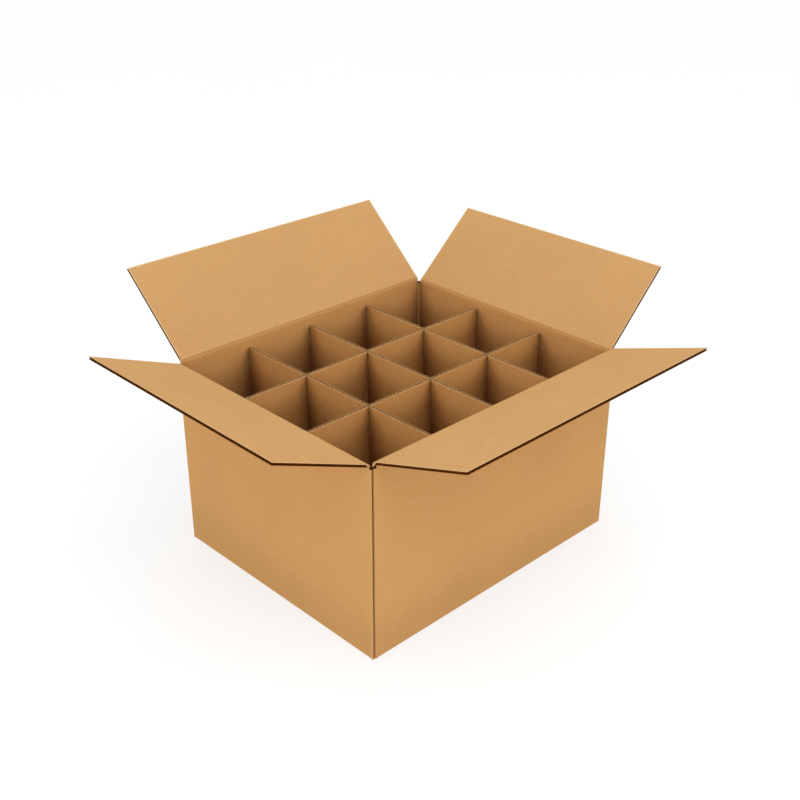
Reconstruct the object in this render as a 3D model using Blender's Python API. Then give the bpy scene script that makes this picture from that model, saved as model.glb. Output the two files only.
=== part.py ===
"""Slotted shipping case for twelve bottles, standing open with its partition in place.

The case is one folded sheet of corrugated board: four walls round three scored corners and one
lapped and glued corner, with two layers of glued flaps for a bottom. Its four top flaps turn on
their creases. The partition is two long and three short sheets that cross in half-depth slots and
stand on the bottom. X runs along the long walls, Y along the short ones and Z up, from the floor.
"""

import math

import bmesh
import bpy
from mathutils import Matrix, Vector

# Board
BOARD = 0.0030  # thickness of the single-wall board, in the case and in the partition
FIT_GAP = 0.0003  # left between faces that touch on the real case

# Case, over its outside faces
CASE_LENGTH = 0.3945
CASE_WIDTH = 0.3300
CASE_HEIGHT = 0.2375  # from the floor to the crease of the short walls

# Scored corners
FOLD_RADIUS = 0.0016  # outside of every fold
FOLD_STEPS = 6
SCORE_BEAD = 0.0020  # leg of the crushed strip across an inside corner
SCORE_GROOVE_WIDTH = 0.0006  # on either side of that strip
SCORE_GROOVE_DEPTH = 0.0004

# Lapped corner, where a tab on the long near wall is glued inside the short near wall
TAB_WIDTH = 0.0350
TAB_TAPER = 0.0090  # how far each end of the tab slopes over its width
TAB_END_GAP = 0.0060  # from the tab's ends to the crease above and the bottom flaps below
JOINT_SETBACK = 0.0003  # of the short wall's cut edge behind the long wall's face
JOINT_NOTCH = 0.0010  # depth of the notch beside that edge

# Bottom flaps
FLAP_INSET = 0.0038  # of a flap's sides from the case's outside faces, half a slot and its fold
FOOT_RISE = 0.0005  # of the short walls' feet off the floor
BOTTOM_SEAM = 0.0010  # between the outer flaps
INNER_FLAP_SIDE_GAP = 0.0010  # from the inner flaps to the long walls
OUTER_FLAP_SETBACK = 0.0005  # of the outer flaps' ends inside the long walls' faces
INNER_FLAP_RISE = 0.0010  # how far the inner flaps climb towards their creases
GLUE_SINK = 0.0002  # how far glue and pressure bed the inner flaps into the outer ones

# Top flaps
LONG_FLAP_REACH = 0.1298  # from the crease to the free edge
SHORT_FLAP_REACH = 0.1220
LONG_NEAR_LEAN = math.radians(71.5)  # outwards from upright, as it stands
LONG_FAR_LEAN = math.radians(48.0)
SHORT_NEAR_LEAN = math.radians(68.0)
SHORT_FAR_LEAN = math.radians(48.4)
SLOT_UNDERCUT = 0.0012  # of the slots between the flaps below the short walls' tops

# Partition
CELLS_ALONG = 4
CELLS_ACROSS = 3
PARTITION_DROP = 0.0078  # from the short walls' crease to the sheets' top edges
SHEET_END_GAP = 0.0020  # from each sheet's ends to the walls, with the partition centred
PARTITION_SHIFT = 0.0015  # towards the far long wall, as the partition has slid
SLOT_PLAY = 0.0003  # on each side of a sheet in its slot
SLOT_LEAD_IN = 0.0025  # chamfer at a slot's mouth
SHEET_CORNER = 0.0040  # radius of a sheet's top corners

# Colours, linear
KRAFT_OUTSIDE = (0.55, 0.31, 0.115)
KRAFT_INSIDE = (0.60, 0.35, 0.14)
KRAFT_SHEET = (0.53, 0.30, 0.11)
PAPER_ROUGHNESS = 0.85

CUT_SPARE = 0.0040  # how far a cutter runs past what it cuts

half_length = CASE_LENGTH / 2
half_width = CASE_WIDTH / 2
bottom_top = 2 * BOARD

# A flap's end and its wall's top are mitred, so that the flap can shut flat. The mitres part by
# the fit gap when it is shut, and a flap folded right back hangs the same gap off the wall.
mitre_start = FIT_GAP / math.sqrt(2)
crease_stand_off = FIT_GAP
crease_to_wall_top = crease_stand_off + mitre_start
short_crease = CASE_HEIGHT
long_crease = CASE_HEIGHT + BOARD + FIT_GAP
short_wall_top = short_crease - crease_to_wall_top
long_wall_top = long_crease - crease_to_wall_top
slot_floor = short_wall_top - SLOT_UNDERCUT


def new_collection(name):
    """A collection of that name in the scene."""
    collection = bpy.data.collections.new(name)
    bpy.context.scene.collection.children.link(collection)
    return collection


def paper(name, colour):
    """A plain paper finish."""
    material = bpy.data.materials.new(name)
    material.use_nodes = True
    surface = material.node_tree.nodes["Principled BSDF"]
    surface.inputs["Base Color"].default_value = (*colour, 1.0)
    surface.inputs["Roughness"].default_value = PAPER_ROUGHNESS
    surface.inputs["Metallic"].default_value = 0.0
    return material


def place(mesh, name, collection, parent):
    """An object of the mesh, under the parent."""
    thing = bpy.data.objects.new(name, mesh)
    collection.objects.link(thing)
    thing.parent = parent
    return thing


def arc(centre, radius, start, end, steps):
    """Points round an arc from one angle to another, in degrees."""
    angles = [math.radians(start + (end - start) * i / steps) for i in range(steps + 1)]
    return [(centre[0] + radius * math.cos(a), centre[1] + radius * math.sin(a)) for a in angles]


def plate_mesh(name, loops, thickness, turn):
    """A flat outline with its holes, filled, extruded by the thickness about its plane, and turned."""
    curve = bpy.data.curves.new(name, "CURVE")
    curve.dimensions = "2D"
    curve.fill_mode = "BOTH"
    curve.extrude = thickness / 2
    for points in loops:
        spline = curve.splines.new("POLY")
        spline.points.add(len(points) - 1)
        spline.use_cyclic_u = True
        for spot, (x, y) in zip(spline.points, points):
            spot.co = (x, y, 0.0, 1.0)
    drawn = bpy.data.objects.new(name, curve)
    bpy.context.scene.collection.objects.link(drawn)
    seen = drawn.evaluated_get(bpy.context.evaluated_depsgraph_get())
    mesh = bpy.data.meshes.new_from_object(seen)
    bpy.data.objects.remove(drawn)
    shape = bmesh.new()
    shape.from_mesh(mesh)
    bmesh.ops.remove_doubles(shape, verts=shape.verts, dist=1e-6)
    bmesh.ops.recalc_face_normals(shape, faces=shape.faces)
    shape.to_mesh(mesh)
    shape.free()
    mesh.transform(turn)
    return mesh


# Turns that stand an outline drawn in X and Y upright: along X, or along Y, with Z up
STAND_ALONG_X = Matrix.Rotation(math.radians(90), 4, "X")
STAND_ALONG_Y = Matrix.Rotation(math.radians(90), 4, "Z") @ STAND_ALONG_X


def block(name, low, high, collection, parent):
    """A box between two corners."""
    shape = bmesh.new()
    bmesh.ops.create_cube(shape, size=1.0)
    size = Vector(high) - Vector(low)
    centre = (Vector(high) + Vector(low)) / 2
    bmesh.ops.scale(shape, vec=size, verts=shape.verts)
    bmesh.ops.translate(shape, vec=centre, verts=shape.verts)
    mesh = bpy.data.meshes.new(name)
    shape.to_mesh(mesh)
    shape.free()
    return place(mesh, name, collection, parent)


def combine(body, helper, operation):
    """Join the helper to the body, or trim the body with it."""
    step = body.modifiers.new(helper.name, "BOOLEAN")
    step.operation = operation
    step.object = helper
    step.solver = "EXACT"
    helper.hide_render = True
    helper.display_type = "WIRE"


def outside_corner(x_sign, y_sign, start):
    """The rounded outside of a scored corner, turning anticlockwise from the angle start."""
    centre = (x_sign * (half_length - FOLD_RADIUS), y_sign * (half_width - FOLD_RADIUS))
    return arc(centre, FOLD_RADIUS, start, start + 90, FOLD_STEPS)


def lapped_corner():
    """The outside of the glued corner: the short wall's cut edge, a notch, then the long wall's fold."""
    edge = -half_length + BOARD
    setback = -half_width + JOINT_SETBACK
    centre = (edge + FOLD_RADIUS, -half_width + FOLD_RADIUS)
    floor = math.degrees(math.asin((FOLD_RADIUS - JOINT_NOTCH) / FOLD_RADIUS))
    fold = arc(centre, FOLD_RADIUS, 180 + floor, 270, FOLD_STEPS)
    return [(-half_length, setback), (edge, setback), (edge, -half_width + JOINT_NOTCH), *fold]


def inside_corner(x_sign, y_sign):
    """The crushed strip across an inside corner and the groove on each side of it."""
    middle = SCORE_BEAD + SCORE_GROOVE_WIDTH / 2
    end = SCORE_BEAD + SCORE_GROOVE_WIDTH
    along_x = [(end, 0), (middle, -SCORE_GROOVE_DEPTH), (SCORE_BEAD, 0)]
    along_y = [(y, x) for x, y in reversed(along_x)]
    inner_x = half_length - BOARD
    inner_y = half_width - BOARD
    points = [(x_sign * (inner_x - x), y_sign * (inner_y - y)) for x, y in along_x + along_y]
    return points if x_sign == y_sign else points[::-1]


def wall_band():
    """The four walls as one band of board, from the feet to above the long crease."""
    outside = [
        *lapped_corner(),
        *outside_corner(1, -1, 270),
        *outside_corner(1, 1, 0),
        *outside_corner(-1, 1, 90),
    ]
    glued_inside_corner = [(-half_length + BOARD, -half_width + BOARD)]
    inside = [
        *glued_inside_corner,
        *inside_corner(1, -1)[::-1],
        *inside_corner(1, 1)[::-1],
        *inside_corner(-1, 1)[::-1],
    ]
    top = long_crease + CUT_SPARE
    lift = Matrix.Translation((0, 0, (FOOT_RISE + top) / 2))
    return plate_mesh("box_body", [outside, inside], top - FOOT_RISE, lift)


def glue_tab(collection, parent):
    """The tab that laps the short near wall inside, with its two ends sloped."""
    root = -half_width + BOARD / 2
    tip = -half_width + BOARD + TAB_WIDTH
    low = bottom_top + TAB_END_GAP
    high = short_wall_top - TAB_END_GAP
    outline = [(root, low), (tip, low + TAB_TAPER), (tip, high - TAB_TAPER), (root, high)]
    inside_face = -half_length + 2 * BOARD
    wall_middle = -half_length + BOARD / 2
    shift = Matrix.Translation(((inside_face + wall_middle) / 2, 0, 0))
    mesh = plate_mesh("glue_tab", [outline], inside_face - wall_middle, shift @ STAND_ALONG_Y)
    return place(mesh, "glue_tab", collection, parent)


def outer_bottom_flap(side, collection, parent):
    """A long wall's bottom flap, which lies on the floor and stops at the seam."""
    ends = sorted((side * (half_width - OUTER_FLAP_SETBACK), side * BOTTOM_SEAM / 2))
    reach_x = half_length - FLAP_INSET
    low = (-reach_x, ends[0], 0)
    high = (reach_x, ends[1], BOARD)
    return block("outer_bottom_flap", low, high, collection, parent)


def inner_bottom_flap(side, collection, parent):
    """A short wall's bottom flap: it rises from the wall's foot over the outer flaps' ends."""
    reach = min(half_width, half_length) - BOTTOM_SEAM / 2
    start = half_length - BOARD / 2
    over_end = half_length - FLAP_INSET
    free_edge = half_length - reach
    outline = [
        (start, FOOT_RISE + FIT_GAP),
        (over_end, BOARD - GLUE_SINK),
        (free_edge, BOARD - GLUE_SINK),
        (free_edge, bottom_top),
        (over_end - INNER_FLAP_RISE, bottom_top),
        (start, bottom_top + INNER_FLAP_RISE),
    ]
    width = 2 * (half_width - BOARD - INNER_FLAP_SIDE_GAP)
    outline = [(side * x, z) for x, z in outline]
    mesh = plate_mesh("inner_bottom_flap", [outline], width, STAND_ALONG_X)
    return place(mesh, "inner_bottom_flap", collection, parent)


def foot_rounding(turn, distance, half_span, collection, parent):
    """Cuts the bottom edge under one wall to the round of a fold."""
    skim = 10  # degrees short of tangent, so that the cut crosses the faces it runs out on
    centre = (-distance + FOLD_RADIUS, FOLD_RADIUS)
    fold = arc(centre, FOLD_RADIUS, 180 + skim, 270 - skim, FOLD_STEPS)
    run_out = CUT_SPARE / math.tan(math.radians(skim))
    outline = [
        (fold[0][0] - CUT_SPARE, fold[0][1] + run_out),
        *fold,
        (fold[-1][0] + run_out, fold[-1][1] - CUT_SPARE),
        (fold[0][0] - CUT_SPARE, fold[-1][1] - CUT_SPARE),
    ]
    mesh = plate_mesh("foot_rounding", [outline], 2 * (half_span + CUT_SPARE), STAND_ALONG_Y)
    mesh.transform(turn)
    return place(mesh, "foot_rounding", collection, parent)


def mitre_cutter(turn, distance, half_span, wall_top, collection, parent):
    """Cuts a wall's top to the mitre that falls inwards from its outside edge."""
    reach = 4 * BOARD + CUT_SPARE
    span = half_span - BOARD - FIT_GAP
    cutter = block("mitre_cutter", (-span, -reach, 0), (span, reach, reach), collection, parent)
    slope = Matrix.Rotation(math.radians(-45), 4, "X")
    cutter.data.transform(turn @ Matrix.Translation((0, -distance, wall_top)) @ slope)
    return cutter


def make_body(parts, cutters, parent):
    """The folded sheet without its top flaps."""
    body = place(wall_band(), "box_body", parts, parent)
    combine(body, glue_tab(cutters, parent), "UNION")
    for side in (-1, 1):
        combine(body, outer_bottom_flap(side, cutters, parent), "UNION")
        combine(body, inner_bottom_flap(side, cutters, parent), "UNION")
    for x_sign in (-1, 1):
        for y_sign in (-1, 1):
            near = (x_sign * (half_length - FLAP_INSET), y_sign * (half_width - FLAP_INSET))
            far = (x_sign * (half_length + CUT_SPARE), y_sign * (half_width + CUT_SPARE))
            low = (min(near[0], far[0]), min(near[1], far[1]), slot_floor)
            high = (max(near[0], far[0]), max(near[1], far[1]), long_crease + 2 * CUT_SPARE)
            combine(body, block("flap_slot", low, high, cutters, parent), "DIFFERENCE")
    for quarter in range(4):
        turn = Matrix.Rotation(math.radians(90 * quarter), 4, "Z")
        on_long_wall = quarter % 2 == 0
        distance = half_width if on_long_wall else half_length
        half_span = half_length if on_long_wall else half_width
        wall_top = long_wall_top if on_long_wall else short_wall_top
        mitre = mitre_cutter(turn, distance, half_span, wall_top, cutters, parent)
        combine(body, mitre, "DIFFERENCE")
        combine(body, foot_rounding(turn, distance, half_span, cutters, parent), "DIFFERENCE")
    return body


def make_flap(name, turn, distance, crease, reach, half_span, lean, parts, parent):
    """A top flap with its origin on its crease, leaning outwards."""
    outline = [
        (0, mitre_start),
        (0, reach),
        (BOARD, reach),
        (BOARD, BOARD + mitre_start),
    ]
    mesh = plate_mesh(name, [outline], 2 * half_span, STAND_ALONG_Y)
    flap = place(mesh, name, parts, parent)
    fold = Matrix.Rotation(lean, 4, "X")
    crease_line = Matrix.Translation((0, -distance - crease_stand_off, crease))
    flap.matrix_local = turn @ crease_line @ fold
    return flap


def slotted_sheet(name, length, low, high, slots, from_top, turn, parts, parent):
    """A partition sheet with a slot at each place in slots, open at its top or at its bottom."""
    half_slot = BOARD / 2 + SLOT_PLAY
    middle = (low + high) / 2
    if from_top:
        mouth = high
        inner_end = middle - FIT_GAP
        chamfer_end = high - SLOT_LEAD_IN
    else:
        mouth = low
        inner_end = middle + FIT_GAP
        chamfer_end = low + SLOT_LEAD_IN
    edge = []
    for place_along in slots:
        edge += [
            (place_along - half_slot - SLOT_LEAD_IN / 2, mouth),
            (place_along - half_slot, chamfer_end),
            (place_along - half_slot, inner_end),
            (place_along + half_slot, inner_end),
            (place_along + half_slot, chamfer_end),
            (place_along + half_slot + SLOT_LEAD_IN / 2, mouth),
        ]
    end = length / 2
    in_end = end - SHEET_CORNER
    in_top = high - SHEET_CORNER
    bottom = [(-end, low), *([] if from_top else edge), (end, low)]
    top_right = arc((in_end, in_top), SHEET_CORNER, 0, 90, FOLD_STEPS)
    top_left = arc((-in_end, in_top), SHEET_CORNER, 90, 180, FOLD_STEPS)
    outline = [*bottom, *top_right, *(edge[::-1] if from_top else []), *top_left]
    return place(plate_mesh(name, [outline], BOARD, turn), name, parts, parent)


def cell_lines(length, cells):
    """Where the crossing sheets stand along a sheet that has that many cells."""
    return [length * (i / cells - 0.5) for i in range(1, cells)]


for old in list(bpy.data.objects):
    bpy.data.objects.remove(old)

parts = new_collection("bottle_shipping_box")
cutters = new_collection("cutters")

# The origin is under the middle of the whole, flaps included, so the case stands off it by half
# of what one side's flap leans out further than the other's.
case = bpy.data.objects.new("case_middle", None)
parts.objects.link(case)
lean_x = SHORT_FLAP_REACH * (math.sin(SHORT_NEAR_LEAN) - math.sin(SHORT_FAR_LEAN)) / 2
lean_y = LONG_FLAP_REACH * (math.sin(LONG_NEAR_LEAN) - math.sin(LONG_FAR_LEAN)) / 2
case.location = (lean_x, lean_y, 0)

body = make_body(parts, cutters, case)
body.data.materials.append(paper("case_board", KRAFT_OUTSIDE))

# name, quarter turns from the near long wall, lean
TOP_FLAPS = (
    ("long_flap_near", 0, LONG_NEAR_LEAN),
    ("short_flap_far", 1, SHORT_FAR_LEAN),
    ("long_flap_far", 2, LONG_FAR_LEAN),
    ("short_flap_near", 3, SHORT_NEAR_LEAN),
)
for name, quarter, lean in TOP_FLAPS:
    turn = Matrix.Rotation(math.radians(90 * quarter), 4, "Z")
    if quarter % 2 == 0:
        sizes = (half_width, long_crease, LONG_FLAP_REACH, half_length - FLAP_INSET)
    else:
        sizes = (half_length, short_crease, SHORT_FLAP_REACH, half_width - FLAP_INSET)
    flap = make_flap(name, turn, *sizes, lean, parts, case)
    flap.data.materials.append(paper(f"{name}_board", KRAFT_INSIDE))

sheet_low = bottom_top + FIT_GAP
sheet_high = CASE_HEIGHT - PARTITION_DROP
long_sheet = CASE_LENGTH - 2 * (BOARD + SHEET_END_GAP)
short_sheet = CASE_WIDTH - 2 * (BOARD + SHEET_END_GAP)
along = cell_lines(long_sheet, CELLS_ALONG)
across = cell_lines(short_sheet, CELLS_ACROSS)
for number, y in enumerate(across, 1):
    turn = Matrix.Translation((0, y + PARTITION_SHIFT, 0)) @ STAND_ALONG_X
    name = f"long_divider_{number}"
    sheet = slotted_sheet(
        name, long_sheet, sheet_low, sheet_high, along, False, turn, parts, case
    )
    sheet.data.materials.append(paper(f"{name}_board", KRAFT_SHEET))
for number, x in enumerate(along, 1):
    turn = Matrix.Translation((x, PARTITION_SHIFT, 0)) @ STAND_ALONG_Y
    name = f"short_divider_{number}"
    sheet = slotted_sheet(
        name, short_sheet, sheet_low, sheet_high, across, True, turn, parts, case
    )
    sheet.data.materials.append(paper(f"{name}_board", KRAFT_SHEET))
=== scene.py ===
import math

import bpy
import numpy as np
from mathutils import Matrix, Vector


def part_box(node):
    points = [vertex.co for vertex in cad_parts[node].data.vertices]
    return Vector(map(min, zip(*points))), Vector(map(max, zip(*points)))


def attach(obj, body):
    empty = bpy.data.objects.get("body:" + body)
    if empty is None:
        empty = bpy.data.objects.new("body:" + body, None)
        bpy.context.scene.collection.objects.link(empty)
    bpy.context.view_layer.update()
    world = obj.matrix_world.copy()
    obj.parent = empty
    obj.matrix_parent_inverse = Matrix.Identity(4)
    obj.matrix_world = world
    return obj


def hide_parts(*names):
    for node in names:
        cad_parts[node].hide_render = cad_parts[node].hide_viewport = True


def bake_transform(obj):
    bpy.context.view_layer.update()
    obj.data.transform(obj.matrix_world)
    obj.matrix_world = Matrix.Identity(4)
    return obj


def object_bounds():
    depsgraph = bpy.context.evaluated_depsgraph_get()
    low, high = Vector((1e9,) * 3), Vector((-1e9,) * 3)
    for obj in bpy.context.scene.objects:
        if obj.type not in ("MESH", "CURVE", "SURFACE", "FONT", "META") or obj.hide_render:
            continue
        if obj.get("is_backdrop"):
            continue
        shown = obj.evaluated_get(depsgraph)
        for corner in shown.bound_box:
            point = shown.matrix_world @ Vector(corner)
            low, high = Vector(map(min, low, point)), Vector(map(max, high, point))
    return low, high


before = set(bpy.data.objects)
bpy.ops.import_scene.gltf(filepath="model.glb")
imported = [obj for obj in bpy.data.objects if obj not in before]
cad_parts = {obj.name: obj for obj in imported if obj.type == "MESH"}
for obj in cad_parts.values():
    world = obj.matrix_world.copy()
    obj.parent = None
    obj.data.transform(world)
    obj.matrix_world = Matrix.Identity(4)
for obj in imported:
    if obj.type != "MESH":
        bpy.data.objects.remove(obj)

cad_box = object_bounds()
case_low, case_high = (np.array(corner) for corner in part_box("box_body"))
case_middle = np.array([*(case_low + case_high)[:2] / 2, 0.0])


# Camera: a short telephoto at table height plus an arm, turned to one corner of the case. Its place
# was solved from the case's corners, creases and divider crossings, and is given from the case's
# middle on the floor.
CAMERA_FROM_MIDDLE = np.array([-0.8622, -0.8907, 0.8169])
CAMERA_TURN = math.radians(44.12)
CAMERA_DOWN = math.radians(27.09)
CAMERA_ROLL = math.radians(0.11)
CAMERA_LENS = 52.44  # millimetres, on film of the next width
CAMERA_FILM = 36.0

camera_data = bpy.data.cameras.new("photo_camera")
camera_data.sensor_width = CAMERA_FILM
camera_data.lens = CAMERA_LENS
camera = bpy.data.objects.new("photo_camera", camera_data)
bpy.context.scene.collection.objects.link(camera)
looking = Vector((
    math.cos(CAMERA_DOWN) * math.sin(CAMERA_TURN),
    math.cos(CAMERA_DOWN) * math.cos(CAMERA_TURN),
    -math.sin(CAMERA_DOWN),
))
rightward = looking.cross(Vector((0, 0, 1))).normalized()
upward = rightward.cross(looking)
facing = Matrix((rightward, upward, -looking)).transposed()
camera.matrix_world = (
    Matrix.Translation(Vector(case_middle + CAMERA_FROM_MIDDLE))
    @ facing.to_4x4()
    @ Matrix.Rotation(CAMERA_ROLL, 4, "Z")
)
bpy.context.scene.camera = camera


# Studio: a white sweep lit by a white room, with a wide soft box above and behind the camera's left.
# The floor is bright enough to print as plain white, so only the soft shadow under the case shows.
ROOM_WHITE = (1.0, 1.0, 1.0)
ROOM_STRENGTH = 0.85
FLOOR_GLOW = 0.672  # the light table under the sweep
FLOOR_GLOW_TONE = (0.984, 1.002, 1.010)  # a little cool, against the board's own warm light
FLOOR_TONES = ((0.35, 0.35, 0.35), (0.36, 0.36, 0.36))
FLOOR_CLOUDS = 3.0  # how many drifts of tone there are to a metre
FLOOR_ROUGHNESS = 0.9
FLOOR_SHEEN = 0.1
FLOOR_SPAN = 12.0
FLOOR_DROP = 0.0004  # under the case's feet
LIT_POINT = (0.0, 0.0, 0.1)  # that both lamps face
KEY_PLACE = (-0.45, -1.3, 2.6)
KEY_SPAN = 1.8
KEY_POWER = 23.0
FILL_PLACE = (-3.0, -0.2, 0.9)
FILL_SPAN = 2.0
FILL_POWER = 5.0


def node_tools(tree):
    """Short ways to add to a node tree: any node with its settings, arithmetic, a ramp from one
    range to another, and a blend of two colours. An input is given as its value, or as the output
    of another node that feeds it."""
    def add(kind, inputs=None, **settings):
        node = tree.nodes.new(kind)
        for key, value in settings.items():
            setattr(node, key, value)
        for key, value in (inputs or {}).items():
            if isinstance(value, bpy.types.NodeSocket):
                tree.links.new(value, node.inputs[key])
            else:
                node.inputs[key].default_value = value
        return node

    def number(operation, first, second=0.0, third=0.0):
        return add("ShaderNodeMath", {0: first, 1: second, 2: third}, operation=operation).outputs[0]

    def ramp(value, start, end, low, high, bend="LINEAR"):
        return add(
            "ShaderNodeMapRange",
            {"Value": value, "From Min": start, "From Max": end, "To Min": low, "To Max": high},
            interpolation_type=bend,
        ).outputs[0]

    def blended(share, first, second, blend="MIX"):
        colours = {"Factor": share, "A": first, "B": second}
        return add("ShaderNodeMix", colours, data_type="RGBA", blend_type=blend).outputs["Result"]

    return add, number, ramp, blended


print_settings = bpy.context.scene.view_settings
print_settings.view_transform = "Standard"
print_settings.look = "None"

room = bpy.data.worlds.new("white_room")
room.use_nodes = True
room_light = room.node_tree.nodes["Background"].inputs
room_light["Color"].default_value = (*ROOM_WHITE, 1.0)
room_light["Strength"].default_value = ROOM_STRENGTH
bpy.context.scene.world = room

floor_mesh = bpy.data.meshes.new("studio_floor")
half_floor = FLOOR_SPAN / 2
floor_mesh.from_pydata(
    [(half_floor * x, half_floor * y, -FLOOR_DROP) for x, y in ((-1, -1), (1, -1), (1, 1), (-1, 1))],
    [],
    [(0, 1, 2, 3)],
)
floor = bpy.data.objects.new("studio_floor", floor_mesh)
bpy.context.scene.collection.objects.link(floor)
floor_paint = bpy.data.materials.new("floor_white")
floor_paint.use_nodes = True
floor_look = floor_paint.node_tree.nodes["Principled BSDF"].inputs
floor_look["Roughness"].default_value = FLOOR_ROUGHNESS
floor_look["Specular IOR Level"].default_value = FLOOR_SHEEN
floor_look["Emission Color"].default_value = (*FLOOR_GLOW_TONE, 1.0)
floor_look["Emission Strength"].default_value = FLOOR_GLOW
add_to_floor, *_, floor_blend = node_tools(floor_paint.node_tree)
floor_place = add_to_floor("ShaderNodeTexCoord").outputs["Object"]
floor_clouds = add_to_floor("ShaderNodeTexNoise", {"Vector": floor_place, "Scale": FLOOR_CLOUDS})
floor_tone = floor_blend(floor_clouds.outputs["Fac"], *[(*tone, 1.0) for tone in FLOOR_TONES])
floor_paint.node_tree.links.new(floor_tone, floor_look["Base Color"])
floor.data.materials.append(floor_paint)
floor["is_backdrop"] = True


def soft_box(name, place, span, power):
    """A square studio lamp at a place, facing the lit point."""
    lamp = bpy.data.lights.new(name, "AREA")
    lamp.shape = "SQUARE"
    lamp.size = span
    lamp.energy = power
    fixture = bpy.data.objects.new(name, lamp)
    bpy.context.scene.collection.objects.link(fixture)
    towards = Vector(LIT_POINT) - Vector(place)
    facing_point = towards.to_track_quat("-Z", "Y").to_matrix().to_4x4()
    fixture.matrix_world = Matrix.Translation(Vector(place)) @ facing_point


soft_box("key_box", KEY_PLACE, KEY_SPAN, KEY_POWER)
soft_box("side_fill", FILL_PLACE, FILL_SPAN, FILL_POWER)


# Case walls: one long sheet of single-wall corrugated board, two kraft liners glued to a fluted
# paper. It is scored, folded round three corners and closed by a tab glued inside the fourth, and
# its flutes stand upright, so their open ends show only at cut edges.
BOARD = 0.0030
LINER = 0.00030  # thickness of each outer paper
FLUTING = 0.00026  # and of the wavy one
FLUTE_PITCH = 0.0063
STATIONS_PER_FLUTE = 8
WASHBOARD = 0.000014  # how far a liner sinks between the flutes it is glued to
FOLD_RADIUS = 0.0016
SCORE_BEAD = 0.0020
SCORE_GROOVE_WIDTH = 0.0006
SCORE_GROOVE_DEPTH = 0.0004
FOLD_REACH = BOARD + SCORE_BEAD + SCORE_GROOVE_WIDTH
FOLD_STATIONS = 20
FIT_GAP = 0.0003  # between faces that touch on the real case
CASE_LENGTH = 0.3945
CASE_WIDTH = 0.3300
CASE_HEIGHT = 0.2375  # from the floor to the short walls' crease
TAB_WIDTH = 0.0350
TAB_TAPER = 0.0090
TAB_END_GAP = 0.0060
TAB_SLIT = 0.0012  # from the middle of its fold to where the tab is cut down
JOINT_SETBACK = 0.0003  # of the cut edge over the tab, behind the long wall's face
FLAP_INSET = 0.0038  # of a flap's sides from the case's outside faces
FOOT_RISE = 0.0005  # of the corners' feet off the floor
SLOT_UNDERCUT = 0.0012  # of the slots between the flaps, below the short walls' tops
CREASE_LAP = 0.0004  # from a mitre's inside edge to the end of the inside liner
GROOVE_CRUSH_SHADE = 1.3  # crush of the inside liner at a score's groove, darkened as burnish and painted shade, past 1 so that it is level there
BEAD_CRUSH_SHADE = 0.35  # and on the bead beside it
MITRE_STEP_DEPTH = LINER * 1.5  # deeper than this, a mitre lies one liner's thickness further back
EDGE_STEP = 0.000005  # between two stations that make a sharp step in a sheet's outline
SMOOTH_UNDER = math.radians(40)  # two faces that meet at less than this look like one bend
WALL_ROWS = 4
half_length = CASE_LENGTH / 2
half_width = CASE_WIDTH / 2
mitre_start = FIT_GAP / math.sqrt(2)
short_crease = CASE_HEIGHT
long_crease = CASE_HEIGHT + BOARD + FIT_GAP
short_wall_top = short_crease - FIT_GAP - mitre_start
long_wall_top = long_crease - FIT_GAP - mitre_start
slot_floor = short_wall_top - SLOT_UNDERCUT


def closed_slab(low, high):
    """Joins two grids of points, of shape (n, m, 3), into one closed sheet: each cell of four
    neighbours is a face on either grid, and four strips of faces close the rims between them."""
    columns, rows = low.shape[:2]
    under = np.arange(columns * rows).reshape(columns, rows)
    over = under + columns * rows
    faces = np.concatenate([
        np.stack(corners, -1).reshape(-1, 4)
        for corners in (
            (under[:-1, :-1], under[:-1, 1:], under[1:, 1:], under[1:, :-1]),
            (over[:-1, :-1], over[1:, :-1], over[1:, 1:], over[:-1, 1:]),
            (under[:-1, 0], under[1:, 0], over[1:, 0], over[:-1, 0]),
            (under[1:, -1], under[:-1, -1], over[:-1, -1], over[1:, -1]),
            (under[0, 1:], under[0, :-1], over[0, :-1], over[0, 1:]),
            (under[-1, :-1], under[-1, 1:], over[-1, 1:], over[-1, :-1]),
        )
    ])
    points = np.concatenate([low.reshape(-1, 3), high.reshape(-1, 3)])
    first, second, third, fourth = (points[faces[:, k]] for k in range(4))
    volume = np.einsum("ij,ij->", first, np.cross(second, third) + np.cross(third, fourth))
    cut = np.arange(len(faces)) >= 2 * (columns - 1) * (rows - 1)
    return points, faces if volume > 0 else faces[:, ::-1], cut


def in_order(*lists):
    """All the places of some lists in order, without those that nearly coincide."""
    places = np.sort(np.concatenate(lists))
    return places[np.concatenate([[True], np.diff(places) > EDGE_STEP / 4])]


def flute_stations(start, end, *steps):
    """Places along a sheet, eight to a flute and in step with the flutes, with a pair at each step."""
    spacing = FLUTE_PITCH / STATIONS_PER_FLUTE
    inner = np.arange(math.ceil(start / spacing), math.floor(end / spacing) + 1) * spacing
    pairs = [step + side * EDGE_STEP / 2 for step in steps for side in (-1, 1)]
    return in_order([start, end], inner, pairs)


def even_rows(count, margin=0.02):
    """Places from 0 to 1 up a sheet, closer together at both ends."""
    plain = np.linspace(0, 1, count)
    return np.sort(np.concatenate([plain, [margin / 4, margin, 1 - margin, 1 - margin / 4]]))


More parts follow.
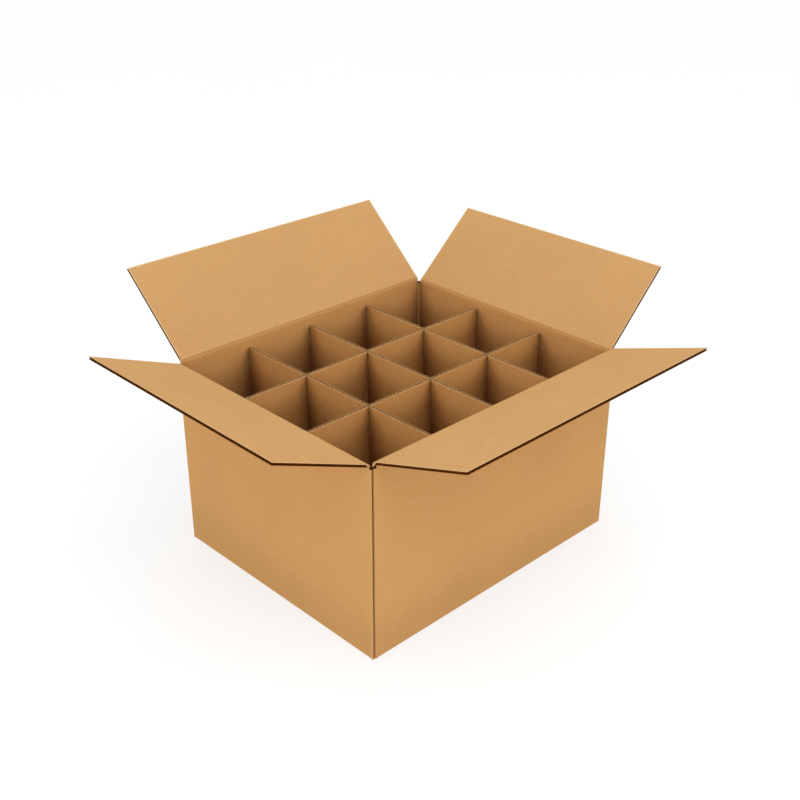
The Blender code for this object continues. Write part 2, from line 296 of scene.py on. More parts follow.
def board_layers(
    across, start, end, shape, rows,
    liner_end=None, liner_start=None, scored=None, lift=0.0, knifed=(True, True),
):
    """The three papers of a corrugated sheet. across is (n,), start and end give (n,) heights for a
    depth from the outside face, and shape turns (along, up, depth) into points. The fluting's middle
    is depth = half the board - swing x cos(2 pi along / pitch), and each liner sinks by the washboard
    where the fluting is away from it. scored gives how crushed the inside liner is at (along, up),
    and so how dark with burnish and painted shade, lift where the sheet starts on the flat blank,
    and knifed whether its start and its end are cut edges."""
    turn = 2 * math.pi * across / FLUTE_PITCH
    swing = BOARD / 2 - LINER - FLUTING / 2
    slope = swing * 2 * math.pi / FLUTE_PITCH * np.sin(turn)
    half_paper = FLUTING / 2 * np.sqrt(1 + slope ** 2)
    outer_face = WASHBOARD * (1 - np.cos(turn)) / 2
    inner_face = BOARD - WASHBOARD * (1 + np.cos(turn)) / 2
    middle = BOARD / 2 - swing * np.cos(turn)
    made = []
    for layer, (shallow, deep) in enumerate((
        (outer_face, outer_face + LINER),
        (middle - half_paper, middle + half_paper),
        (inner_face - LINER, inner_face),
    )):
        grids, sheets, rims, marks = [], [], [], []
        is_inside = layer == 2
        first = liner_start if is_inside and liner_start else start
        last = liner_end if is_inside and liner_end else end
        for depth in (shallow, deep):
            low = first(depth)[:, None]
            high = last(depth)[:, None]
            up = low + (high - low) * rows[None, :]
            along = np.broadcast_to(across[:, None], up.shape)
            through = np.broadcast_to(depth[:, None], up.shape)
            grids.append(shape(along, up, through))
            marks.append(scored(along, up) if is_inside and scored else np.zeros(up.shape))
            sheets.append(np.stack([along, up + lift, through], -1))
            from_cut = np.minimum(along - across[0], across[-1] - along)
            for is_cut, away in zip(knifed, (up - low, high - up)):
                from_cut = np.minimum(from_cut, away) if is_cut else from_cut
            rims.append(from_cut)
        points, faces, cut = closed_slab(*grids)
        made.append({
            "points": points,
            "faces": faces,
            "cut": cut,
            "sheet": np.concatenate([s.reshape(-1, 3) for s in sheets]),
            "rim": np.concatenate([r.ravel() for r in rims]),
            "score": np.concatenate([m.ravel() for m in marks]),
            "fluting": np.full(len(points), float(layer == 1)),
        })
    return made


def paper_piece(name, layers, material):
    """One piece from its papers, with what the material reads: each point's place on the flat sheet,
    its distance from the nearest cut edge, how crushed it is and whether it is fluting, and which
    faces are cut ones."""
    points = np.concatenate([layer["points"] for layer in layers])
    offsets = np.cumsum([0] + [len(layer["points"]) for layer in layers[:-1]])
    faces = np.concatenate([layer["faces"] + offset for layer, offset in zip(layers, offsets)])
    mesh = bpy.data.meshes.new(name)
    mesh.vertices.add(len(points))
    mesh.vertices.foreach_set("co", points.astype(np.float32).ravel())
    mesh.loops.add(faces.size)
    mesh.loops.foreach_set("vertex_index", faces.astype(np.int32).ravel())
    mesh.polygons.add(len(faces))
    mesh.polygons.foreach_set("loop_start", np.arange(0, faces.size, 4, dtype=np.int32))
    mesh.update(calc_edges=True)
    mesh.validate()
    for key, kind, domain, field in (
        ("sheet", "FLOAT_VECTOR", "POINT", "vector"),
        ("rim", "FLOAT", "POINT", "value"),
        ("score", "FLOAT", "POINT", "value"),
        ("fluting", "FLOAT", "POINT", "value"),
        ("cut", "FLOAT", "FACE", "value"),
    ):
        values = np.concatenate([layer[key] for layer in layers]).astype(np.float32)
        mesh.attributes.new(key, kind, domain).data.foreach_set(field, values.ravel())
    mesh.shade_smooth()
    mesh.set_sharp_from_angle(angle=SMOOTH_UNDER)
    mesh.materials.append(material)
    piece = bpy.data.objects.new(name, mesh)
    bpy.context.scene.collection.objects.link(piece)
    return piece


def folded_path(corner, heading, lengths):
    """The outside and inside faces of a sheet folded a quarter turn left after each length, seen
    along its fold lines. Each fold is an arc outside, and inside a crushed bead between two grooves
    of depth x sin(pi t). Returns distance, outside and inside, for straight interpolation."""
    t = np.linspace(0, 1, FOLD_STATIONS + 1)
    straight = FOLD_REACH - FOLD_RADIUS
    arc_length = FOLD_RADIUS * math.pi / 2
    zone = 2 * straight + arc_length
    s = t * zone
    turn = np.clip((s - straight) / arc_length, 0, 1) * math.pi / 2
    outside = np.stack([
        -FOLD_REACH + np.minimum(s, straight) + FOLD_RADIUS * np.sin(turn),
        FOLD_RADIUS * (1 - np.cos(turn)) + np.maximum(s - straight - arc_length, 0),
    ], -1)
    lead = np.clip(s / straight, 0, 1)
    across = np.clip((s - straight) / arc_length, 0, 1)
    tail = np.clip((s - straight - arc_length) / straight, 0, 1)
    flat = FOLD_REACH - BOARD - SCORE_BEAD
    groove_in = SCORE_GROOVE_DEPTH * np.sin(math.pi * lead)
    groove_out = SCORE_GROOVE_DEPTH * np.sin(math.pi * tail)
    inside = np.stack([
        -FOLD_REACH + flat * lead + SCORE_BEAD * across + groove_out,
        BOARD + SCORE_BEAD * across + flat * tail - groove_in,
    ], -1)
    distance, outer, inner = [0.0], [], []
    place = np.array(corner, float)
    travelled = 0.0
    for number, length in enumerate(lengths):
        ahead = np.array([math.cos(heading), math.sin(heading)])
        left = np.array([-ahead[1], ahead[0]])
        if number == 0:
            outer.append(place)
            inner.append(place + left * BOARD)
        end = place + ahead * length
        travelled += length - (FOLD_REACH if number else 0.0)
        if number == len(lengths) - 1:
            distance.append(travelled)
            outer.append(end)
            inner.append(end + left * BOARD)
            break
        travelled -= FOLD_REACH
        for k in range(FOLD_STATIONS + 1):
            distance.append(travelled + s[k])
            outer.append(end + ahead * outside[k, 0] + left * outside[k, 1])
            inner.append(end + ahead * inside[k, 0] + left * inside[k, 1])
        travelled += zone
        place = end
        heading += math.pi / 2
    return np.array(distance), np.array(outer), np.array(inner)


def on_path(path, along, depth):
    """Points at a share of the way from a folded path's outside to its inside: out + (in - out) x
    depth / board."""
    distance, outer, inner = path
    share = depth / BOARD
    made = []
    for k in (0, 1):
        outside = np.interp(along, distance, outer[:, k])
        inside = np.interp(along, distance, inner[:, k])
        made.append(outside * (1 - share) + inside * share)
    return made


CLOUD_SCALE = 11.0  # each scale in drifts, clumps or fibres to a metre
MOTTLE_SCALE = 420.0
FELT_SCALE = 2100.0
THREAD_SCALE = 1300.0
MOTTLE_RUN = 0.55  # how much longer a clump is along the sheet: 1 is round, 0 endless
FELT_RUN = 0.3
THREAD_RUN = 0.16
DARK_THREADS = (0.66, 0.74)  # where the thread noise turns into a fibre, and is one in full
PALE_THREADS = (0.35, 0.27)
DARK_FIBRE = (0.25, 0.12, 0.04, 1.0)
PALE_FIBRE = (0.82, 0.58, 0.31, 1.0)
FELT_RELIEF = 0.6
MOTTLE_RELIEF = 0.8
THREAD_RELIEF = 0.15
PAPER_ROUGHNESS = 0.80
ROUGHNESS_SPREAD = 0.16


def node_group(name, inputs, outputs):
    """An empty node group with inputs, each a name, a kind and a default or None, and outputs. It
    comes with the sockets at its two inner ends."""
    group = bpy.data.node_groups.new(name, "ShaderNodeTree")
    for label, kind, value in inputs:
        socket = group.interface.new_socket(label, in_out="INPUT", socket_type="NodeSocket" + kind)
        if value is not None:
            socket.default_value = value
    for label, kind in outputs:
        group.interface.new_socket(label, in_out="OUTPUT", socket_type="NodeSocket" + kind)
    given = group.nodes.new("NodeGroupInput").outputs
    out = group.nodes.new("NodeGroupOutput").inputs
    return group, given, out


def kraft_pulp_group():
    """Unbleached kraft paper: clouds of tone, a felted mottle drawn out along the machine's run,
    pale and dark fibres lying in it, and the faint stripes over the flutes."""
    group, given, out = node_group(
        "kraft_pulp",
        (
            ("Sheet", "Vector", None),
            ("Object", "Vector", None),
            ("Tone", "Color", None),
            ("Cloud", "Float", 0.05),
            ("Mottle", "Float", 0.13),
            ("Fibre", "Float", 0.35),
            ("Stripe", "Float", 0.006),
        ),
        (("Colour", "Color"), ("Height", "Float"), ("Roughness", "Float")),
    )
    add, number, ramp, blended = node_tools(group)

    def drawn_out(run):
        scale = (run, 1.0, 1.0)
        return add("ShaderNodeMapping", {"Vector": given["Sheet"], "Scale": scale}).outputs[0]

    def clumps(place, scale, **grain):
        settings = {"Vector": place, "Scale": scale, **grain}
        return add("ShaderNodeTexNoise", settings).outputs["Fac"]

    cloud = clumps(given["Object"], CLOUD_SCALE, Detail=2.0, Roughness=0.5)
    mottle = clumps(drawn_out(MOTTLE_RUN), MOTTLE_SCALE, Detail=5.0, Roughness=0.62)
    felt = clumps(drawn_out(FELT_RUN), FELT_SCALE, Detail=3.0, Roughness=0.6, Distortion=0.6)
    threads = clumps(drawn_out(THREAD_RUN), THREAD_SCALE, Detail=2.0, Roughness=0.5, Distortion=1.6)
    dark_threads = ramp(threads, *DARK_THREADS, 0.0, 1.0)
    pale_threads = ramp(threads, *PALE_THREADS, 0.0, 1.0)
    along = add("ShaderNodeSeparateXYZ", {0: given["Sheet"]}).outputs[0]
    stripe = number("COSINE", number("MULTIPLY", along, 2 * math.pi / FLUTE_PITCH))

    def swing(value, amount):
        either_way = number("SUBTRACT", value, 0.5)
        return number("MULTIPLY", either_way, number("MULTIPLY", amount, 2.0))

    tone = number("ADD", 1.0, swing(cloud, given["Cloud"]))
    tone = number("ADD", tone, swing(mottle, given["Mottle"]))
    tone = number("ADD", tone, swing(felt, given["Mottle"]))
    tone = number("SUBTRACT", tone, number("MULTIPLY", stripe, given["Stripe"]))
    tinted = add(
        "ShaderNodeVectorMath", {0: given["Tone"], "Scale": tone}, operation="SCALE"
    ).outputs[0]
    dark = blended(number("MULTIPLY", dark_threads, given["Fibre"]), tinted, DARK_FIBRE)
    pale = blended(number("MULTIPLY", pale_threads, given["Fibre"]), dark, PALE_FIBRE)
    group.links.new(pale, out["Colour"])
    relief = number(
        "ADD", number("MULTIPLY", felt, FELT_RELIEF), number("MULTIPLY", mottle, MOTTLE_RELIEF)
    )
    relief = number("ADD", relief, number("MULTIPLY", pale_threads, THREAD_RELIEF))
    group.links.new(relief, out["Height"])
    rough = number("ADD", PAPER_ROUGHNESS, number("MULTIPLY", mottle, ROUGHNESS_SPREAD))
    group.links.new(rough, out["Roughness"])
    return group


def cut_edge_group():
    """What knife and press leave on the board, with painted light and shade: a pale band of painted
    highlight along each cut edge of a liner, the tone of the cut itself, and darker, burnished paper
    where a score has crushed it, darker still as painted shade in the score's grooves."""
    group, given, out = node_group(
        "cut_edge",
        (
            ("Colour", "Color", None),
            ("Rim", "Float", None),
            ("Cut", "Float", None),
            ("Score", "Float", None),
            ("Burr", "Float", None),
            ("Edge Highlight Tone", "Color", (0.86, 0.61, 0.34, 1.0)),
            ("Edge Highlight Width", "Float", 0.0018),
            ("Cut Tone", "Color", None),
            # Near black: burnished paper, and painted shade for the dark valley of a score's grooves.
            ("Score Shade Tone", "Color", (0.09, 0.032, 0.005, 1.0)),
        ),
        (("Colour", "Color"),),
    )
    *_, ramp, blended = node_tools(group)
    # Painted highlight: a pale band fading in from each cut edge of a liner, for the light that edge
    # catches.
    fade = ramp(given["Rim"], 0.0, given["Edge Highlight Width"], given["Burr"], 0.0, "SMOOTHSTEP")
    highlighted = blended(fade, given["Colour"], given["Edge Highlight Tone"])
    crushed = blended(given["Score"], highlighted, given["Score Shade Tone"])
    knifed = blended(given["Cut"], crushed, given["Cut Tone"])
    group.links.new(knifed, out["Colour"])
    return group


kraft_pulp = kraft_pulp_group()
cut_edge = cut_edge_group()

# Painted shade: an ambient occlusion node darkens the board's colour in corners, deep in the cells and up
# under the flaps.
CREVICE_REACH = 0.085  # how near another face brings painted shade onto the board
CREVICE_CLOSED = 0.54  # share of open air at which a corner is at its darkest
OPEN_AT_TOP = 0.61  # share of it at which a face is untouched, up at the sheets' tops
OPEN_BELOW = 0.92  # and deep in the cells
CREVICE_HIGH = 0.232  # heights off the floor for those two
CREVICE_LOW = 0.150
SHELTER_AT_FOOT = 0.15  # of an outside face, as a share of what it is up under the flaps
SHELTER_HIGH = 0.20
CREVICE_SHADE_TONE = (0.12, 0.045, 0.008, 1.0)
CREVICE_SAMPLES = 6
BOARD_SHEEN = 0.01
LINER_SHARE = 0.9  # of a liner's thickness that counts as its face, seen end on
PULP_BUMP = 0.5
PULP_BUMP_DEPTH = 0.00008


def kraft_board(name, tones, fluting_tone_and_shade, cut_tone_and_shade, edge_highlight, crevice_shade, shelter_shade, open_edge):
    """Corrugated board with those outside and inside tones: kraft pulp on the liners, a duller
    fluting and hollow between them (on the flaps painted dark as the shade in the flutes), cut
    edges with a pale band of painted highlight, scored lines darkened as burnish and painted
    shade, and the pulp's relief as bump. Painted shade deepens the colour where other faces crowd
    in: by the crevice amount on an inside face, spreading the lower it lies, by the shelter amount
    on an outside face, more so towards the flaps, and not within open_edge of a cut."""
    material = bpy.data.materials.new(name)
    material.use_nodes = True
    tree = material.node_tree
    add, number, ramp, blended = node_tools(tree)
    surface = tree.nodes["Principled BSDF"]
    surface.inputs["Specular IOR Level"].default_value = BOARD_SHEEN
    sheet = add("ShaderNodeAttribute", attribute_name="sheet").outputs["Vector"]
    rim, fluting, score, cut = (
        add("ShaderNodeAttribute", attribute_name=key).outputs["Fac"]
        for key in ("rim", "fluting", "score", "cut")
    )
    place = add("ShaderNodeTexCoord").outputs["Object"]
    depth = add("ShaderNodeSeparateXYZ", {0: sheet}).outputs[2]
    height = add("ShaderNodeSeparateXYZ", {0: place}).outputs[2]

    is_inside = number("GREATER_THAN", depth, BOARD / 2)
    liner = blended(is_inside, (*tones[0], 1.0), (*tones[1], 1.0))
    hollow = number("COMPARE", depth, BOARD / 2, BOARD / 2 - LINER * LINER_SHARE)
    hollow = number("MAXIMUM", hollow, fluting)
    papers = blended(hollow, liner, (*fluting_tone_and_shade, 1.0))
    pulp = add(
        "ShaderNodeGroup",
        {"Sheet": sheet, "Object": place, "Tone": papers},
        node_tree=kraft_pulp,
    )
    edged = add(
        "ShaderNodeGroup",
        {
            "Colour": pulp.outputs["Colour"], "Rim": rim, "Cut": cut, "Score": score,
            "Burr": number("MULTIPLY_ADD", hollow, -edge_highlight, edge_highlight), "Cut Tone": (*cut_tone_and_shade, 1.0),
        },
        node_tree=cut_edge,
    )
    open_air = add(
        "ShaderNodeAmbientOcclusion", {"Distance": CREVICE_REACH}, samples=CREVICE_SAMPLES
    ).outputs["AO"]
    outside_share = ramp(height, 0.0, SHELTER_HIGH, SHELTER_AT_FOOT * shelter_shade, shelter_shade)
    share = number("MULTIPLY", is_inside, crevice_shade)
    share = number("MULTIPLY_ADD", number("SUBTRACT", 1.0, is_inside), outside_share, share)
    fully_open = ramp(height, CREVICE_HIGH, CREVICE_LOW, OPEN_AT_TOP, OPEN_BELOW)
    closeness = ramp(open_air, CREVICE_CLOSED, fully_open, 1.0, 0.0, "SMOOTHSTEP")
    painted_shade = number("MULTIPLY", closeness, share)
    painted_shade = number("MULTIPLY", painted_shade, ramp(rim, 0.0, open_edge, 0.0, 1.0))
    # Painted shade: the colour is multiplied towards the crevice tone where other faces crowd in.
    deep = blended(1.0, edged.outputs["Colour"], CREVICE_SHADE_TONE, "MULTIPLY")
    toned = blended(painted_shade, edged.outputs["Colour"], deep)
    relief = add(
        "ShaderNodeBump",
        {"Height": pulp.outputs["Height"], "Strength": PULP_BUMP, "Distance": PULP_BUMP_DEPTH},
    )
    tree.links.new(toned, surface.inputs["Base Color"])
    tree.links.new(pulp.outputs["Roughness"], surface.inputs["Roughness"])
    tree.links.new(relief.outputs["Normal"], surface.inputs["Normal"])
    return material


CASE_CUT = (0.50, 0.27, 0.10)
CASE_FLUTING = (0.55, 0.30, 0.115)
# Painted light: walls and flaps are one sheet, yet the walls' tones are more saturated, as if less lit.
CASE_TONES = ((0.61, 0.330, 0.123), (0.71, 0.378, 0.132))  # outside and inside
CASE_EDGE_HIGHLIGHT = 0.15
# Painted shade on the walls' outside faces, strongest up under the flaps.
CASE_SHELTER_SHADE = 0.75
CASE_OPEN_EDGE = 0.004
case_board = kraft_board(
    "case_board", CASE_TONES, CASE_FLUTING, CASE_CUT,
    edge_highlight=CASE_EDGE_HIGHLIGHT, crevice_shade=1.0, shelter_shade=CASE_SHELTER_SHADE, open_edge=CASE_OPEN_EDGE,
)

walls_path = folded_path(
    (-half_length + BOARD, -half_width + BOARD + TAB_WIDTH),
    -math.pi / 2,
    (BOARD + TAB_WIDTH, CASE_LENGTH - BOARD, CASE_WIDTH, CASE_LENGTH, CASE_WIDTH - JOINT_SETBACK),
)
fold_zone = 2 * (FOLD_REACH - FOLD_RADIUS) + FOLD_RADIUS * math.pi / 2
fold_middles = np.array([
    walls_path[0][1 + k * (FOLD_STATIONS + 1)] + fold_zone / 2 for k in range(4)
])
corner_half = FLAP_INSET - FOLD_RADIUS + FOLD_RADIUS * math.pi / 4
walls_end = walls_path[0][-1]
wall_middles = [*(fold_middles[:3] + fold_middles[1:]) / 2, walls_end + JOINT_SETBACK - CASE_WIDTH / 2]
wall_steps = np.concatenate([fold_middles - corner_half, fold_middles + corner_half])
last_slot = walls_end - FLAP_INSET + JOINT_SETBACK
wall_across = in_order(
    flute_stations(0.0, walls_end, *wall_steps, last_slot),
    *[walls_path[0][1 + k * (FOLD_STATIONS + 1):][:FOLD_STATIONS + 1] for k in range(4)],
)
on_tab = wall_across < fold_middles[0] - TAB_SLIT
at_corner = (np.abs(wall_across[:, None] - fold_middles) < corner_half).any(1) | (wall_across > last_slot)
panel = np.searchsorted(fold_middles, wall_across)
on_long = (panel == 1) | (panel == 3)
panel_top = np.where(on_long, long_wall_top, short_wall_top)
tab_share = np.clip(1 - wall_across / TAB_WIDTH, 0, 1)


def mitre_setback(depth):
    """How far from a mitre's outside edge the sheet ends at a depth."""
    return depth + LINER * (depth > MITRE_STEP_DEPTH)


def wall_start(depth):
    """Where each upright line of the walls begins: at the bottom fold, or lower at a corner."""
    tab_low = 2 * BOARD + TAB_END_GAP + TAB_TAPER * tab_share
    return np.where(on_tab, tab_low, np.where(at_corner, FOOT_RISE, FOLD_REACH))


def wall_end(depth):
    """Where each upright line ends: under the mitre of the crease, or at a slot's floor."""
    tab_high = short_wall_top - TAB_END_GAP - TAB_TAPER * tab_share
    drop = mitre_setback(depth)
    in_slot = np.minimum(slot_floor, short_wall_top - drop)
    return np.where(on_tab, tab_high, np.where(at_corner, in_slot, panel_top - drop))


def wall_liner_end(depth):
    """Where the inside liner ends: just under the mitre's inside edge, where the crease begins."""
    return np.where(on_tab | at_corner, wall_end(depth), panel_top - BOARD - CREASE_LAP)


def wall_shape(along, up, depth):
    """Points of the walls from distance round the case, height and depth: x and y from the folded
    path, z from the height."""
    x, y = on_path(walls_path, along, depth)
    return np.stack([x, y, up], -1) + case_middle


def wall_crush_and_shade(along, up):
    """How crushed the walls' inside is, and so how dark with burnish and painted shade, over all their
    height: 1 in the two grooves of each fold and less on the bead between them."""
    from_fold = np.min(np.abs(along - fold_middles[:, None, None]), axis=0)
    groove = fold_zone / 2 - (FOLD_REACH - FOLD_RADIUS) / 2
    in_groove = np.clip(GROOVE_CRUSH_SHADE - np.abs(from_fold - groove) / SCORE_GROOVE_WIDTH, 0, 1)
    return np.maximum(in_groove, np.where(from_fold < groove, BEAD_CRUSH_SHADE, 0.0))


case_walls = paper_piece(
    "case_walls",
    board_layers(
        wall_across, wall_start, wall_end, wall_shape, even_rows(WALL_ROWS),
        liner_end=wall_liner_end, scored=wall_crush_and_shade, knifed=(False, False),
    ),
    case_board,
)
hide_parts("box_body")
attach(case_walls, "case")


# Bottom flaps: the long walls' outer pair lies on the floor and meets at a seam, and the short
# walls' inner pair climbs over the outer flaps' ends and is glued down on them.
BOTTOM_SEAM = 0.0001
INNER_FLAP_SIDE_GAP = 0.0010
CLIMB_START = 0.0030  # from the wall's face
CLIMB_END = 0.0090
CLIMB_ROWS = np.linspace(0.03, 0.09, 7)  # shares of the flap's length
FLAT_ROWS = np.linspace(0.1, 1, 6)
NO_OPEN_EDGE = 0.0001  # the corners' painted shade reaches right up to a cut
bottom_board = kraft_board(
    "bottom_board", CASE_TONES, CASE_FLUTING, CASE_CUT,
    edge_highlight=CASE_EDGE_HIGHLIGHT, crevice_shade=1.0, shelter_shade=CASE_SHELTER_SHADE, open_edge=NO_OPEN_EDGE,
)


def bottom_flap(name, quarter, distance, half_span, reach, climb):
    """A flap folded in under a wall: a folded path seen from the side gives its depth and height,
    and climb lifts it over the flap below with a smooth step."""
    path = folded_path((0.0, FOLD_REACH), -math.pi / 2, (FOLD_REACH, reach))
    across = flute_stations(-half_span, half_span)
    whole = path[0][-1]
    heading = math.radians(90 * quarter)
    out_of_wall = np.array([math.sin(heading), -math.cos(heading)])
    along_wall = np.array([math.cos(heading), math.sin(heading)])

    def shape(along, up, depth):
        inward, height = on_path(path, up, depth)
        t = np.clip((inward - CLIMB_START) / (CLIMB_END - CLIMB_START), 0, 1)
        height = height + climb * t * t * (3 - 2 * t)
        x = along * along_wall[0] + (distance - inward) * out_of_wall[0]
        y = along * along_wall[1] + (distance - inward) * out_of_wall[1]
        return np.stack([x, y, height], -1) + case_middle

    folds = path[0][1:FOLD_STATIONS + 2] / whole
    climbing = CLIMB_ROWS if climb else []
    rows = np.unique(np.round(np.concatenate([folds, climbing, FLAT_ROWS, [0.0]]), 6))
    piece = paper_piece(
        name,
        board_layers(
            across, lambda depth: np.zeros(len(depth)), lambda depth: np.full(len(depth), whole),
            shape, rows, knifed=(False, True),
        ),
        bottom_board,
    )
    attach(piece, "case")


long_half = half_length - FLAP_INSET
inner_half = half_width - BOARD - INNER_FLAP_SIDE_GAP
flap_depth = half_width - BOTTOM_SEAM / 2
bottom_flap("outer_bottom_flap_near", 0, half_width, long_half, flap_depth, 0.0)
bottom_flap("outer_bottom_flap_far", 2, half_width, long_half, flap_depth, 0.0)
bottom_flap("inner_bottom_flap_far", 1, half_length, inner_half, flap_depth, BOARD)
bottom_flap("inner_bottom_flap_near", 3, half_length, inner_half, flap_depth, BOARD)


# Top flaps: the same sheet goes on above each wall's crease. Their flutes run out from the crease,
# so the free edge shows them end on, and each flap stands open at its own lean.
LONG_FLAP_REACH = 0.1298
SHORT_FLAP_REACH = 0.1220
short_half = half_width - FLAP_INSET
TOP_FLAPS = (
    # name, quarter turns, crease height, distance of its wall, half span, reach, lean outwards, and
    # how much the knife took off its two sides at the free edge and at the crease
    ("long_flap_near", 0, long_crease, half_width, long_half, LONG_FLAP_REACH, 71.5,
     (0, 0), (0, 0)),
    ("short_flap_far", 1, short_crease, half_length, short_half, SHORT_FLAP_REACH, 48.4,
     (0.004, 0.001), (0.0007, 0.0015)),
    ("long_flap_far", 2, long_crease, half_width, long_half, LONG_FLAP_REACH, 48.0,
     (0, 0), (0.0015, 0)),
    ("short_flap_near", 3, short_crease, half_length, short_half, SHORT_FLAP_REACH, 68.0,
     (0, 0.0065), (0.0007, 0.0007)),
)
FLAP_ROWS = 7
FLAP_CUT_SHADE = (0.140, 0.040, 0.003)  # painted shade: near black for the shade inside the open flutes at a flap's cut edge
# Painted shade: the flaps' fluting and the hollow between their liners are dark as the shade in the
# flutes.
FLAP_FLUTING_SHADE = (0.165, 0.050, 0.004)
# Painted light: the flaps' tones are less saturated than the walls' on the same sheet, as if more lit.
FLAP_TONES = ((0.61, 0.340, 0.132), (0.61, 0.350, 0.142))
flap_board = kraft_board(
    "flap_board", FLAP_TONES, FLAP_FLUTING_SHADE, FLAP_CUT_SHADE,
    edge_highlight=0.9, crevice_shade=0.0, shelter_shade=0.0, open_edge=NO_OPEN_EDGE,
)


def crease_frame(quarter, crease, distance, lean):
    """The crease line's middle and the directions along it, out of the wall, and from the crease up
    the leaning flap and into the flap's board."""
    heading = math.radians(90 * quarter)
    along = np.array([math.cos(heading), math.sin(heading), 0.0])
    out = np.array([math.sin(heading), -math.cos(heading), 0.0])
    up = np.array([0.0, 0.0, 1.0])
    angle = math.radians(lean)
    climb = up * math.cos(angle) + out * math.sin(angle)
    into = up * math.sin(angle) - out * math.cos(angle)
    origin = case_middle + out * (distance + FIT_GAP) + up * crease
    return origin, along, out, climb, into


flap_liner_start = mitre_start + BOARD + CREASE_LAP

for name, quarter, crease, distance, half_span, reach, lean, end_trims, base_trims in TOP_FLAPS:
    origin, along_way, out_way, climb_way, into_way = crease_frame(quarter, crease, distance, lean)
    wall_middle = wall_middles[quarter]
    flap_across = flute_stations(wall_middle - half_span, wall_middle + half_span)

    def flap_shape(along, up, depth):
        """Points of a flap from its flat sheet: the crease's line, plus up along the lean and depth
        into the board. The sides draw in by base + (end - base) x up / reach."""
        aside = along - wall_middle
        side = (aside > 0).astype(int)
        base = np.array(base_trims)[side]
        trim = base + (np.array(end_trims)[side] - base) * up / reach
        aside = aside * (1 - trim / half_span)
        return (
            origin
            + aside[..., None] * along_way
            + up[..., None] * climb_way
            + depth[..., None] * into_way
        )

    flap = paper_piece(
        name + "_board",
        board_layers(
            flap_across,
            lambda depth: mitre_start + mitre_setback(depth),
            lambda depth: np.full(len(depth), reach),
            flap_shape,
            even_rows(FLAP_ROWS),
            liner_start=lambda depth: np.full(len(depth), flap_liner_start),
            lift=crease,
            knifed=(False, True),
        ),
        flap_board,
    )
    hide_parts(name)
    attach(flap, name)


# Creases: along each score the board is crushed, so its inside liner runs from wall to flap with a
# thin pressed line where it bends. Each crease is the crushed board between the wall's mitre and
# the flap's, shaped to the flap's lean.
CREASE_STATIONS = 40
CREASE_COLUMNS = 49
CREASE_SHOULDER = 0.0022  # how far below the crease the wall's liner starts to lean out
CREASE_LEAN_OUT = 0.0005
CREASE_LINE_DEPTH = 0.00022
CREASE_LINE_HALF = 0.00038
# Painted shade: the crease's pressed line is darkened with the score tone as well as sunk.
CREASE_PRESSED_SHADE = 0.45
PRESSED_SHADE_SPREAD = 1.3  # of the pressed tone past the line's own half width
CREASE_TONES = (CASE_TONES[1], FLAP_TONES[1])  # below the line and above it, blending the walls' painted shaded tone into the flaps' lit one
CREASE_HOLLOW = (0.42, 0.20, 0.060)
crease_board = kraft_board(
    "crease_board", CREASE_TONES, CREASE_HOLLOW, FLAP_CUT_SHADE,
    edge_highlight=0.0, crevice_shade=0.0, shelter_shade=1.0, open_edge=NO_OPEN_EDGE,
)


def along_polyline(corners, shares):
    """Points at the given shares of a polyline's length."""
    corners = np.array(corners)
    travelled = np.concatenate([[0.0], np.cumsum(np.linalg.norm(np.diff(corners, axis=0), axis=1))])
    wanted = shares * travelled[-1]
    return np.stack([np.interp(wanted, travelled, corners[:, k]) for k in range(3)], -1)


def corners_cut(corners):
    """A polyline with each inner corner replaced by the points a quarter of the way to it and on,
    three times over."""
    corners = np.array(corners)
    for _ in range(3):
        ahead = corners[:-1] * 0.75 + corners[1:] * 0.25
        back = corners[:-1] * 0.25 + corners[1:] * 0.75
        between = np.stack([ahead, back], 1).reshape(-1, 3)[1:-1]
        corners = np.concatenate([corners[:1], between, corners[-1:]])
    return corners


